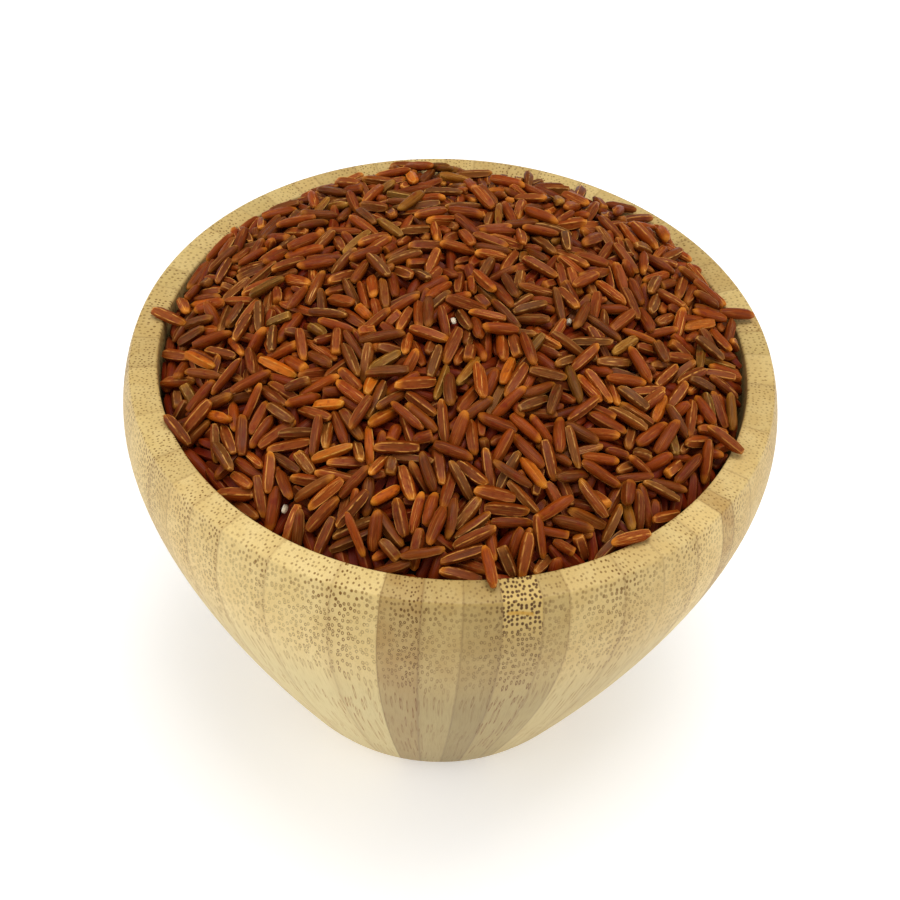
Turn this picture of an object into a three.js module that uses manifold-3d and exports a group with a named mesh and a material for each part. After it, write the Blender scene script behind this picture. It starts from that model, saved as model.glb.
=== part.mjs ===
// A small turned bamboo bowl heaped with long-grain red rice.
//
// Millimetres, +Z up. The origin is the centre of the bowl's foot, on the surface that it stands on,
// and -Y is the side that the bowl is usually seen from. Two pieces: the bowl, turned from one glued
// ring of bamboo strips, and the rice, which fills it and rises over the rim in a rounded heap.

import * as THREE from "three";
import { mergeVertices } from "three/addons/utils/BufferGeometryUtils.js";
import Module from "manifold-3d";

// Driving dimensions of the bowl.
const BOWL_HEIGHT = 80;
const BELLY_RADIUS = 55; // the widest circle, a little below the rim
const BELLY_Z = 70;
const RIM_OUTER_RADIUS = 53.15; // just under the flat of the rim
const RIM_INNER_RADIUS = 48.5; // the mouth
const RIM_ROUND = 0.5; // both edges of the rim's flat are only just broken
const FOOT_RADIUS = 26;
const FOOT_ROUND_RADIUS = 34; // where the flank ends and the foot rounds off
const FOOT_ROUND_Z = 4.8;
const FLOOR_RADIUS = 17; // flat part of the inside
const FLOOR_Z = 9;
const BOWL_FACETS = 64;

// Driving dimensions of the rice.
const WALL_GAP = 0.3; // between rice and wood
const HEAP_RADIUS = RIM_INNER_RADIUS - 0.5; // at its edge, where the wall has drawn in a little
const HEAP_EDGE_Z = BOWL_HEIGHT - 1.2; // between the grains, where the rice meets the wall, on average
const HEAP_TOP_Z = BOWL_HEIGHT + 10.5; // between the grains, in the middle
const HEAP_ROUNDNESS = 2.1; // 2 is a parabola, and more is flatter on top
const HIGH_SIDE = 75; // the side where the rice is banked up, in degrees from +X
const HEAP_FACETS = BOWL_FACETS / 2;
const GRAIN_LENGTH = 6.5;
const GRAIN_WIDTH = 2.1;
const GRAIN_THICKNESS = 1.8;
const SHORTEST = 0.86; // the smallest and largest grains, as shares of that length and width
const LONGEST = 1.1;
const SLIMMEST = 0.88;
const WIDEST = 1.08;
const SHOULDER = { along: 0.56, across: 0.92 }; // where a grain starts to taper, as shares of its halves
const CREST = { along: 0.5, across: 0.46 }; // the narrow flat along the top of a lying grain, likewise
const GRAIN_STANDS = 1.5; // how far a lying grain stands out of the gaps round it
const LIFT_SPREAD = 0.7;
const TILT_SPREAD = 0.5; // radians
const LYING_GRAINS = 430;
const TOP_GRAINS = 42; // these lie across the others
const SHUFFLES = 90; // rounds in which lying grains push each other apart
const RANDOM_SEED = 7;

// Grains that lean out over the rim: where round the bowl and how far out the middle of each is,
// which way it points, how far that end is tipped up, and how high its middle is above the rim.
const RIM_GRAINS = [
  { around: 278, out: 47.7, heading: 282, tip: 24, rise: 0.8 },
  { around: 164, out: 47.7, heading: 158, tip: 24, rise: 0.8 },
  { around: 21, out: 47.9, heading: 2, tip: 22, rise: 0.95 },
  { around: 325, out: 46.5, heading: 318, tip: 22, rise: 0.4 },
  { around: 303, out: 46.5, heading: 15, tip: 0, rise: -1.3 },
  { around: 98, out: 46.8, heading: 8, tip: 0, rise: 0.4 },
  { around: 38, out: 48.2, heading: 133, tip: 0, rise: 1.4 },
  { around: 50, out: 48.7, heading: 112, tip: 0, rise: 1.4 },
  { around: 60, out: 47.6, heading: 158, tip: 0, rise: 1.1 },
];

const wasm = await Module();
wasm.setup();

// A closed mesh geometry as a solid that can be joined to others.
function solidOf(geometry) {
  const bare = geometry.clone();
  bare.deleteAttribute("normal");
  bare.deleteAttribute("uv");
  const merged = mergeVertices(bare, 1e-4);
  return new wasm.Manifold(
    new wasm.Mesh({
      numProp: 3,
      vertProperties: merged.attributes.position.array,
      triVerts: new Uint32Array(merged.index.array),
    }),
  );
}

// A joined solid back as a mesh geometry.
function geometryOf(solid) {
  const mesh = solid.getMesh();
  const geometry = new THREE.BufferGeometry();
  geometry.setAttribute("position", new THREE.BufferAttribute(mesh.vertProperties, 3));
  geometry.setIndex(new THREE.BufferAttribute(mesh.triVerts, 1));
  geometry.computeVertexNormals();
  return geometry;
}

// A repeatable random source.
function randomSource(seed) {
  let state = seed >>> 0;
  return () => {
    state = (state + 0x6d2b79f5) >>> 0;
    let t = Math.imul(state ^ (state >>> 15), 1 | state);
    t = (t + Math.imul(t ^ (t >>> 7), 61 | t)) ^ t;
    return ((t ^ (t >>> 14)) >>> 0) / 4294967296;
  };
}

const v2 = (x, y) => new THREE.Vector2(x, y);
const radians = THREE.MathUtils.degToRad;
const between = (low, high, share) => low + (high - low) * share;

// ---- The bowl -------------------------------------------------------------------------------

// The outside, upwards: a small foot, a flank that opens out to a full belly, and a short shoulder
// that draws in again to the flat rim.
function outerProfile() {
  const foot = new THREE.QuadraticBezierCurve(
    v2(FOOT_RADIUS, 0), v2(FOOT_ROUND_RADIUS - 1.8, 0), v2(FOOT_ROUND_RADIUS, FOOT_ROUND_Z));
  const flank = new THREE.CubicBezierCurve(
    v2(FOOT_ROUND_RADIUS, FOOT_ROUND_Z), v2(45, 30), v2(BELLY_RADIUS, 57), v2(BELLY_RADIUS, BELLY_Z));
  const shoulder = new THREE.CubicBezierCurve(
    v2(BELLY_RADIUS, BELLY_Z), v2(BELLY_RADIUS, BELLY_Z + 3.5),
    v2(RIM_OUTER_RADIUS + 0.95, BOWL_HEIGHT - 2.7), v2(RIM_OUTER_RADIUS, BOWL_HEIGHT - RIM_ROUND));
  return [
    ...foot.getPoints(2).slice(0, -1),
    ...flank.getPoints(7).slice(0, -1),
    ...shoulder.getPoints(2),
    v2(RIM_OUTER_RADIUS - RIM_ROUND, BOWL_HEIGHT),
  ];
}

// The inside, from the mouth down to the flat floor, or a skin that stands clear of it.
function innerProfile(clearance) {
  const wall = new THREE.CubicBezierCurve(
    v2(RIM_INNER_RADIUS, BOWL_HEIGHT - RIM_ROUND), v2(RIM_INNER_RADIUS + 0.4, 54),
    v2(FLOOR_RADIUS + 22, FLOOR_Z), v2(FLOOR_RADIUS, FLOOR_Z));
  const steps = 7;
  return wall.getPoints(steps).map((point, i) => {
    const down = wall.getTangent(i / steps);
    return point.addScaledVector(v2(down.y, -down.x), clearance);
  });
}

function bowlGeometry() {
  const profile = [
    v2(0, 0),
    ...outerProfile(),
    v2(RIM_INNER_RADIUS + RIM_ROUND, BOWL_HEIGHT),
    ...innerProfile(0),
    v2(0, FLOOR_Z),
  ];
  return new THREE.LatheGeometry(profile, BOWL_FACETS).rotateX(Math.PI / 2);
}

// ---- The heap -------------------------------------------------------------------------------

// The rice was poured, so its edge isn't level: it is over the rim on one side and under it elsewhere.
function edgeLift(angle) {
  return 1.9 * Math.cos(angle - radians(HIGH_SIDE)) + 0.6 * Math.sin(3 * angle);
}

// Height of the heap's bare core at a point.
function coreHeight(x, y) {
  const share = Math.min(1, Math.hypot(x, y) / HEAP_RADIUS);
  const dome = (HEAP_TOP_Z - HEAP_EDGE_Z) * (1 - share ** HEAP_ROUNDNESS);
  return HEAP_EDGE_Z + dome + edgeLift(Math.atan2(y, x)) * share ** 2;
}

function coreNormal(x, y) {
  const step = 0.5;
  return new THREE.Vector3(
    coreHeight(x - step, y) - coreHeight(x + step, y),
    coreHeight(x, y - step) - coreHeight(x, y + step),
    2 * step,
  ).normalize();
}

// A point beside a grain's middle, in plan, by its shares of the grain's half length and half width.
function placeOn(seat, along, across) {
  const a = (along * seat.length) / 2;
  const c = (across * seat.width) / 2;
  const cos = Math.cos(seat.heading);
  const sin = Math.sin(seat.heading);
  return v2(seat.x + a * cos - c * sin, seat.y + a * sin + c * cos);
}

// A grain's outline in plan: two tips and four shoulders, anticlockwise.
function outlineOf(seat, grow = 1) {
  const along = SHOULDER.along * grow;
  const across = SHOULDER.across * grow;
  return [
    placeOn(seat, -grow, 0), placeOn(seat, -along, -across), placeOn(seat, along, -across),
    placeOn(seat, grow, 0), placeOn(seat, along, across), placeOn(seat, -along, across),
  ];
}

// Grains lie anyhow: spread evenly by a spiral, each turned its own way.
function spreadSeats(count, reach, random) {
  const goldenAngle = Math.PI * (3 - Math.sqrt(5));
  return Array.from({ length: count }, (_, i) => {
    const out = reach * Math.sqrt((i + 0.5) / count);
    const angle = i * goldenAngle;
    return {
      x: out * Math.cos(angle) + random() - 0.5,
      y: out * Math.sin(angle) + random() - 0.5,
      heading: Math.PI * random(),
      length: GRAIN_LENGTH * between(SHORTEST, LONGEST, random()),
      width: GRAIN_WIDTH * between(SLIMMEST, WIDEST, random()),
      tilt: TILT_SPREAD * (random() - 0.5),
      lift: LIFT_SPREAD * (random() - 0.5),
    };
  });
}

// The points along a grain that keep their distance from other grains, in plan.
function touchPoints(seat) {
  const reach = seat.length / 2 - seat.width / 2;
  return [-1, 0, 1].map((s) => ({
    x: seat.x + s * reach * Math.cos(seat.heading),
    y: seat.y + s * reach * Math.sin(seat.heading),
    arm: s * reach,
  }));
}

function nudge(seat, point, dx, dy) {
  seat.x += dx / 2;
  seat.y += dy / 2;
  const turn = -dx * Math.sin(seat.heading) + dy * Math.cos(seat.heading);
  seat.heading += (2 * turn * point.arm) / (seat.length * seat.length);
}

// Pushes lying grains apart until they hardly lap, and keeps them off the wall.
function shuffleApart(seats) {
  const clear = GRAIN_WIDTH * 1.02;
  const farthest = GRAIN_LENGTH * 1.15;
  const firmness = 0.3; // the share of a lap that one round takes away
  const reach = HEAP_RADIUS - 0.4;
  for (let round = 0; round < SHUFFLES; round++) {
    const points = seats.map(touchPoints);
    for (let i = 0; i < seats.length; i++) {
      for (let j = i + 1; j < seats.length; j++) {
        if (Math.abs(seats[i].x - seats[j].x) > farthest) continue;
        if (Math.abs(seats[i].y - seats[j].y) > farthest) continue;
        for (const p of points[i]) {
          for (const q of points[j]) {
            const gap = Math.hypot(p.x - q.x, p.y - q.y);
            if (gap >= clear || gap < 1e-6) continue;
            const push = (firmness * (clear - gap)) / gap;
            nudge(seats[i], p, (p.x - q.x) * push, (p.y - q.y) * push);
            nudge(seats[j], q, (q.x - p.x) * push, (q.y - p.y) * push);
          }
        }
      }
      for (const p of touchPoints(seats[i])) {
        const out = Math.hypot(p.x, p.y);
        const over = out + seats[i].width / 2 - reach;
        if (over > 0) nudge(seats[i], p, (-p.x * over) / out, (-p.y * over) / out);
      }
    }
  }
}

// Whether some edge of one outline has the whole other outline beyond it.
function edgeParts(a, b) {
  return a.some((p, i) => {
    const q = a[(i + 1) % a.length];
    return b.every((o) => (q.x - p.x) * (o.y - p.y) - (q.y - p.y) * (o.x - p.x) < 0);
  });
}

// Shortens a grain that still laps another one or the edge, or leaves it out.
function withoutLaps(seats) {
  const margin = 1.05;
  const reach = HEAP_RADIUS * Math.cos(Math.PI / HEAP_FACETS) - 0.1;
  const kept = [];
  const outlines = [];
  for (const seat of seats) {
    for (const shorter of [1, 0.9, 0.81, 0.73]) {
      const smaller = { ...seat, length: seat.length * shorter, width: seat.width * Math.sqrt(shorter) };
      const mine = outlineOf(smaller, margin);
      const inside = mine.every((p) => p.length() < reach);
      if (inside && outlines.every((other) => edgeParts(mine, other) || edgeParts(other, mine))) {
        kept.push(smaller);
        outlines.push(mine);
        break;
      }
    }
  }
  return kept;
}

// The lying grains and what is under them, as one closed skin. It follows the inside of the bowl with
// a small gap, and on top it dips between the grains, each of which is a flat-topped ridge with two
// tapered ends.
function lyingGrainsSolid(seats) {
  const spots = [];
  const faces = [];
  const addSpot = (x, y, z) => spots.push(x, y, z) / 3 - 1;
  const ringAt = (radius, heightAt) => Array.from({ length: HEAP_FACETS }, (_, i) => {
    const place = v2(radius, 0).rotateAround(v2(0, 0), (2 * Math.PI * i) / HEAP_FACETS);
    return addSpot(place.x, place.y, heightAt(place.x, place.y));
  });

  const edge = ringAt(HEAP_RADIUS, coreHeight);
  let above = edge;
  for (const { x: radius, y: height } of innerProfile(WALL_GAP).slice(1)) {
    const below = ringAt(radius, () => height);
    for (let i = 0; i < HEAP_FACETS; i++) {
      const next = (i + 1) % HEAP_FACETS;
      faces.push(above[i], below[i], below[next], above[i], below[next], above[next]);
    }
    above = below;
  }
  const bottom = addSpot(0, 0, FLOOR_Z + WALL_GAP);
  above.forEach((spot, i) => faces.push(spot, bottom, above[(i + 1) % HEAP_FACETS]));

  const outlines = seats.map((seat) => outlineOf(seat));
  const rings = outlines.map((outline) => outline.map(({ x, y }) => addSpot(x, y, coreHeight(x, y))));
  const contour = edge.map((spot) => v2(spots[3 * spot], spots[3 * spot + 1]));
  const holes = outlines.map((outline) => outline.toReversed());
  const corners = [...edge, ...rings.flatMap((ring) => ring.toReversed())];
  for (const face of THREE.ShapeUtils.triangulateShape(contour, holes)) {
    faces.push(...face.map((corner) => corners[corner]));
  }

  seats.forEach((seat, n) => {
    const crestSpot = (end, side) => {
      const { x, y } = placeOn(seat, end * CREST.along, side * CREST.across);
      const slope = (end * CREST.along * seat.length * Math.tan(seat.tilt)) / 2;
      return addSpot(x, y, coreHeight(x, y) + GRAIN_STANDS + seat.lift + slope);
    };
    const [tipA, rightA, rightB, tipB, leftB, leftA] = rings[n];
    const [crestRA, crestRB] = [crestSpot(-1, -1), crestSpot(1, -1)];
    const [crestLB, crestLA] = [crestSpot(1, 1), crestSpot(-1, 1)];
    faces.push(tipA, rightA, crestRA, tipA, crestRA, crestLA, tipA, crestLA, leftA);
    faces.push(tipB, leftB, crestLB, tipB, crestLB, crestRB, tipB, crestRB, rightB);
    faces.push(rightA, rightB, crestRB, rightA, crestRB, crestRA);
    faces.push(crestLA, crestLB, leftB, crestLA, leftB, leftA);
    faces.push(crestRA, crestRB, crestLB, crestRA, crestLB, crestLA);
  });

  const geometry = new THREE.BufferGeometry();
  geometry.setAttribute("position", new THREE.Float32BufferAttribute(spots, 3));
  geometry.setIndex(faces);
  return solidOf(geometry);
}

// One whole grain along Y, with six sides, tapered at both ends and a little flat.
function grainGeometry(length, width) {
  const half = length / 2;
  const shoulder = v2((SHOULDER.across * width) / 2, SHOULDER.along * half);
  const profile = [v2(0, -half), v2(shoulder.x, -shoulder.y), shoulder, v2(0, half)];
  return new THREE.LatheGeometry(profile, 6).scale(1, 1, GRAIN_THICKNESS / GRAIN_WIDTH);
}

// A grain that lies across the others, sunk a little between them.
function topGrain(seat) {
  const step = 0.5;
  const normal = new THREE.Vector3(
    coreHeight(seat.x - step, seat.y) - coreHeight(seat.x + step, seat.y),
    coreHeight(seat.x, seat.y - step) - coreHeight(seat.x, seat.y + step),
    2 * step,
  ).normalize();
  const level = new THREE.Vector3(Math.cos(seat.heading), Math.sin(seat.heading), 0);
  const side = new THREE.Vector3().crossVectors(level, normal).normalize();
  const along = new THREE.Vector3().crossVectors(normal, side).applyAxisAngle(side, seat.tilt);
  const up = new THREE.Vector3().crossVectors(side, along);
  const middle = new THREE.Vector3(seat.x, seat.y, coreHeight(seat.x, seat.y));
  middle.addScaledVector(normal, GRAIN_STANDS + 0.1);
  const place = new THREE.Matrix4().makeBasis(side, along, up).setPosition(middle);
  return solidOf(grainGeometry(seat.length, seat.width).applyMatrix4(place));
}

// A grain that leans out over the rim, clear of the wood.
function rimGrain({ around, out, heading, tip, rise }) {
  const place = new THREE.Matrix4().makeRotationFromEuler(
    new THREE.Euler(radians(tip), 0, radians(heading - 90), "ZYX"));
  place.setPosition(out * Math.cos(radians(around)), out * Math.sin(radians(around)), BOWL_HEIGHT + rise);
  return solidOf(grainGeometry(GRAIN_LENGTH, GRAIN_WIDTH).applyMatrix4(place));
}

// The lying grain that carries the inner end of one at the rim.
function seatUnder({ around, out, heading }) {
  const inner = out - GRAIN_LENGTH * 0.4;
  return {
    x: inner * Math.cos(radians(around)),
    y: inner * Math.sin(radians(around)),
    heading: radians(heading) + Math.PI / 2,
    length: GRAIN_LENGTH,
    width: GRAIN_WIDTH,
    tilt: 0,
    lift: LIFT_SPREAD,
  };
}

// All the rice in one solid. A loose scrap that touches nothing is dropped.
function heapGeometry() {
  const random = randomSource(RANDOM_SEED);
  const lying = spreadSeats(LYING_GRAINS, HEAP_RADIUS - 1.5, random);
  shuffleApart(lying);
  const onTop = spreadSeats(TOP_GRAINS, HEAP_RADIUS - GRAIN_LENGTH, random);
  const whole = wasm.Manifold.union([
    lyingGrainsSolid(withoutLaps([...RIM_GRAINS.map(seatUnder), ...lying])),
    ...onTop.map(topGrain),
    ...RIM_GRAINS.map(rimGrain),
  ]);
  const pieces = whole.decompose().sort((a, b) => b.volume() - a.volume());
  return geometryOf(pieces[0].simplify(0.03));
}

// ---- The whole ------------------------------------------------------------------------------

function part(name, geometry, color, roughness) {
  const mesh = new THREE.Mesh(geometry, new THREE.MeshStandardMaterial({ color, roughness, metalness: 0 }));
  mesh.name = name;
  return mesh;
}

const group = new THREE.Group();
group.add(part("bowl", bowlGeometry(), 0xd6bf86, 0.55));
group.add(part("rice", heapGeometry(), 0x7e3417, 0.4));

export default group;
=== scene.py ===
import math

import bpy
import numpy as np
from mathutils import Matrix, Vector


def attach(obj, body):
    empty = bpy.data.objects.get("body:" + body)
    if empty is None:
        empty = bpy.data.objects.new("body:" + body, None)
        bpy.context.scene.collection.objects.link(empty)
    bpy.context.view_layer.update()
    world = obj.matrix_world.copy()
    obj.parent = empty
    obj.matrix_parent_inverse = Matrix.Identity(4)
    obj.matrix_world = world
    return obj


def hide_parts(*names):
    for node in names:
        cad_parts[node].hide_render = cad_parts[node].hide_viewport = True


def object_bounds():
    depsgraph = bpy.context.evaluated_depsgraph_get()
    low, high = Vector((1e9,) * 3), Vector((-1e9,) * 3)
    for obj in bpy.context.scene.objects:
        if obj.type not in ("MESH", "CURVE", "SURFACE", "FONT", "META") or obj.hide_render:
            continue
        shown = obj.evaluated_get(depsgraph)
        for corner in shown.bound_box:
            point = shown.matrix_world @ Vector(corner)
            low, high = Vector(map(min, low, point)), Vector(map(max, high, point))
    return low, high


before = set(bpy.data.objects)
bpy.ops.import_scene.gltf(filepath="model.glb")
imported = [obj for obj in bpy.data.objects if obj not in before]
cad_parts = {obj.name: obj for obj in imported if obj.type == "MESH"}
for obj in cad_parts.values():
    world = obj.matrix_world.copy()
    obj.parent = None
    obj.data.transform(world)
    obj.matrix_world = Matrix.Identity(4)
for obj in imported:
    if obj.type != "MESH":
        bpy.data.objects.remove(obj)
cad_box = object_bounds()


# ---- The bowl ---------------------------------------------------------------------------------
# One piece of laminated bamboo: about fifty leaning strips glued side by side into a ring, then
# turned on a lathe inside and out, sanded and oiled. Every strip shows its own fibre bundles,
# end-on as dots on the rim and cut aslant as streaks down the wall.

MM = 0.001  # sizes are in millimetres, and meshes in metres
BOWL_HEIGHT = 80.0
BELLY_RADIUS, BELLY_Z = 55.0, 70.0
RIM_OUTER_RADIUS, RIM_INNER_RADIUS, RIM_ROUND = 53.15, 48.5, 0.5
FOOT_RADIUS, FOOT_ROUND_RADIUS, FOOT_ROUND_Z = 26.0, 34.0, 4.8
FLOOR_RADIUS, FLOOR_Z = 17.0, 9.0
FACET_DEGREES = 1.6


def bezier(points, steps):
    """Points along a quadratic or cubic curve, from its control points."""
    t = np.linspace(0, 1, steps + 1)[:, None]
    order = len(points) - 1
    return sum(math.comb(order, k) * (1 - t) ** (order - k) * t ** k * np.array(p, float)
               for k, p in enumerate(points))


def inner_wall(steps):
    """The inside of the bowl in section, from the mouth down to the edge of the flat floor."""
    return bezier([(RIM_INNER_RADIUS, BOWL_HEIGHT - RIM_ROUND), (RIM_INNER_RADIUS + 0.4, 54),
                   (FLOOR_RADIUS + 22, FLOOR_Z), (FLOOR_RADIUS, FLOOR_Z)], steps)


def bowl_profile():
    """The whole section as turned, from the middle of the foot round the rim to the floor."""
    foot = bezier([(FOOT_RADIUS, 0), (FOOT_ROUND_RADIUS - 1.8, 0),
                   (FOOT_ROUND_RADIUS, FOOT_ROUND_Z)], 6)
    flank = bezier([(FOOT_ROUND_RADIUS, FOOT_ROUND_Z), (45, 30), (BELLY_RADIUS, 57),
                    (BELLY_RADIUS, BELLY_Z)], 20)
    shoulder = bezier([(BELLY_RADIUS, BELLY_Z), (BELLY_RADIUS, BELLY_Z + 3.5),
                       (RIM_OUTER_RADIUS + 0.95, BOWL_HEIGHT - 2.7),
                       (RIM_OUTER_RADIUS, BOWL_HEIGHT - RIM_ROUND)], 8)
    edge = bezier([(RIM_OUTER_RADIUS, BOWL_HEIGHT - RIM_ROUND),
                   (RIM_OUTER_RADIUS - 0.15, BOWL_HEIGHT), (RIM_OUTER_RADIUS - 0.6, BOWL_HEIGHT)], 4)
    lip = bezier([(RIM_INNER_RADIUS + RIM_ROUND, BOWL_HEIGHT), (RIM_INNER_RADIUS, BOWL_HEIGHT),
                  (RIM_INNER_RADIUS, BOWL_HEIGHT - RIM_ROUND)], 3)
    return np.concatenate([[(0, 0), (12, 0)], foot, flank[1:], shoulder[1:], edge[1:],
                           [(50.7, BOWL_HEIGHT)], lip, inner_wall(20)[1:], [(8, FLOOR_Z), (0, FLOOR_Z)]])


# Strips seen from the front: where each one ends (degrees from +X), its tone, the warmth of its
# brown, how closely its fibre bundles stand, how dark they are, and the side that they crowd to
# (-1, 0 or 1).
FRONT_STRIPS = [
    (191.0, 0.83, 0.55, 1.30, 1.20, 1), (203.0, 0.92, 0.40, 1.30, 1.00, 0),
    (213.5, 0.97, 0.30, 1.25, 1.00, 1), (220.0, 0.93, 0.45, 1.30, 1.00, -1),
    (226.0, 1.05, 0.45, 1.20, 1.00, 1), (233.0, 1.07, 0.40, 1.15, 1.00, 1),
    (242.5, 1.11, 0.30, 1.00, 0.85, 1), (253.5, 1.12, 0.25, 1.00, 0.95, 1),
    (261.2, 1.06, 0.25, 0.95, 1.15, -1), (267.7, 0.78, 0.80, 1.15, 1.20, 1),
    (274.0, 0.78, 0.45, 1.00, 0.75, -1), (280.0, 0.68, 0.45, 1.00, 0.80, 1),
    (286.3, 0.77, 0.45, 1.15, 1.50, 0), (290.6, 0.78, 0.45, 1.00, 0.75, 0),
    (300.0, 0.98, 0.40, 0.95, 0.95, 1), (307.5, 0.96, 0.45, 1.05, 0.85, -1),
    (315.0, 1.01, 0.45, 1.10, 0.85, 1), (321.5, 1.11, 0.45, 1.15, 0.80, -1),
    (324.8, 0.91, 0.90, 1.25, 0.85, 0), (331.0, 1.00, 0.55, 1.20, 0.80, -1),
    (343.0, 1.00, 0.50, 1.20, 0.65, 1), (355.0, 0.90, 0.50, 1.20, 0.75, 1),
]
FIRST_STRIP_AT = 183.0
# Ranges for the strips at the back, in the same order.
BACK_WIDTHS, BACK_TONES, BACK_WARMTHS = (4.5, 9.0), (0.80, 0.98), (0.2, 0.6)
BACK_CROWDING, BACK_DARKNESS = (0.85, 1.1), (0.6, 1.1)


def ring_of_strips():
    """Start, end and looks of every strip: from the table in front, and by chance at the back."""
    rng = np.random.default_rng(5)
    strips = []
    start = FIRST_STRIP_AT
    for end, *looks in FRONT_STRIPS:
        strips.append((start, end, *looks))
        start = end
    while start < FIRST_STRIP_AT + 360 - 1:
        end = start + rng.uniform(*BACK_WIDTHS)
        if end > FIRST_STRIP_AT + 360 - 4:
            end = FIRST_STRIP_AT + 360
        strips.append((start, end, rng.uniform(*BACK_TONES), rng.uniform(*BACK_WARMTHS),
                       rng.uniform(*BACK_CROWDING), rng.uniform(*BACK_DARKNESS), rng.integers(-1, 2)))
        start = end
    return strips


def bowl_mesh():
    """The section swept round, with an edge of the mesh wherever two strips meet."""
    profile = bowl_profile()
    angles, owner = [], []
    strips = ring_of_strips()
    for n, strip in enumerate(strips):
        count = math.ceil((strip[1] - strip[0]) / FACET_DEGREES)
        angles += list(np.linspace(strip[0], strip[1], count + 1)[:-1])
        owner += [n] * count
    angles = np.radians(angles)
    rows = profile[1:-1]
    turns, levels = len(angles), len(rows)
    points = np.stack([np.outer(np.cos(angles), rows[:, 0]), np.outer(np.sin(angles), rows[:, 0]),
                       np.tile(rows[:, 1], (turns, 1))], -1).reshape(-1, 3)
    foot, floor = len(points), len(points) + 1
    points = np.concatenate([points, [(0, 0, profile[0, 1]), (0, 0, profile[-1, 1])]]) * MM
    faces, face_owner = [], []
    for i in range(turns):
        a, b = i * levels, ((i + 1) % turns) * levels
        faces.append((foot, b, a))
        faces += [(a + k, b + k, b + k + 1, a + k + 1) for k in range(levels - 1)]
        faces.append((a + levels - 1, b + levels - 1, floor))
        face_owner += [owner[i]] * (levels + 1)
    mesh = bpy.data.meshes.new("bamboo_bowl")
    mesh.from_pydata(points.tolist(), [], faces)
    mesh.shade_smooth()
    looks = []
    for number, (start, end, *rest) in enumerate(strips):
        middle, half = math.radians((start + end) / 2), math.radians((end - start) / 2)
        looks.append((math.cos(middle), math.sin(middle), math.tan(half), *rest, number))
    looks = np.array(looks, float)[face_owner]
    for column, name in enumerate(("strip_cos", "strip_sin", "strip_spread", "strip_tone", "strip_warmth",
                                   "bundle_crowding", "bundle_darkness", "crowded_side", "strip_number")):
        mesh.attributes.new(name, "FLOAT", "FACE").data.foreach_set("value", looks[:, column].copy())
    return mesh


class Wire:
    """A node's output that can stand in a sum: every operator adds the Math node that it names."""

    def __init__(self, tree, socket=None):
        self.tree, self.socket = tree, socket

    def node(self, kind, settings=None, sockets=None, out=0):
        """Adds any node: its settings are set first, then its sockets get values or links."""
        new = self.tree.nodes.new(kind)
        for name, value in (settings or {}).items():
            setattr(new, name, value)
        for key, value in (sockets or {}).items():
            if isinstance(value, Wire):
                self.tree.links.new(value.socket, new.inputs[key])
            else:
                new.inputs[key].default_value = value
        return Wire(self.tree, new.outputs[out]) if len(new.outputs) else new

    def out(self, name):
        """Another output of the same node."""
        return Wire(self.tree, self.socket.node.outputs[name])

    def math(self, operation, *others):
        """A Math node on this value and others."""
        return self.node("ShaderNodeMath", {"operation": operation}, dict(enumerate((self, *others))))

    def after(self, operation, first):
        """A Math node with another value first and this one second."""
        return self.node("ShaderNodeMath", {"operation": operation}, {0: first, 1: self})

    def __add__(self, other):
        return self.math("ADD", other)

    def __radd__(self, other):
        return self.after("ADD", other)

    def __sub__(self, other):
        return self.math("SUBTRACT", other)

    def __rsub__(self, other):
        return self.after("SUBTRACT", other)

    def __mul__(self, other):
        return self.math("MULTIPLY", other)

    def __rmul__(self, other):
        return self.after("MULTIPLY", other)

    def __truediv__(self, other):
        return self.math("DIVIDE", other)

    def __rtruediv__(self, other):
        return self.after("DIVIDE", other)

    def __abs__(self):
        return self.math("ABSOLUTE")

    def ramp(self, low, high, start=0.0, end=1.0):
        """Eased from start to end as the value goes from low to high."""
        return self.node("ShaderNodeMapRange", {"interpolation_type": "SMOOTHSTEP"}, {
            "Value": self, "From Min": low, "From Max": high, "To Min": start, "To Max": end})

    def vector(self, x, y, z=0.0):
        """Three values as one vector."""
        return self.node("ShaderNodeCombineXYZ", None, {0: x, 1: y, 2: z})

    def attribute(self, name, out=2):
        """A value that the mesh carries: output 2 for a number, and 1 for a vector."""
        return self.node("ShaderNodeAttribute", {"attribute_name": name}, None, out)

    def noise(self, place, scale, detail=2.0, roughness=0.5):
        """Soft random spots, from 0 to 1."""
        return self.node("ShaderNodeTexNoise", None, {
            "Vector": place, "Scale": scale, "Detail": detail, "Roughness": roughness})

    def blend(self, share, first, second):
        """Mixes two colours."""
        return self.node("ShaderNodeMix", {"data_type": "RGBA"}, {0: share, 6: first, 7: second}, 2)

    def shade(self, colour, level):
        """Makes a colour lighter or darker."""
        return self.node("ShaderNodeVectorMath", {"operation": "SCALE"}, {0: colour, 3: level})


def blank_finish(name):
    """A material with no nodes yet, and a maker of nodes for it."""
    material = bpy.data.materials.new(name)
    material.use_nodes = True
    material.node_tree.nodes.clear()
    return material, Wire(material.node_tree)


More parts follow.
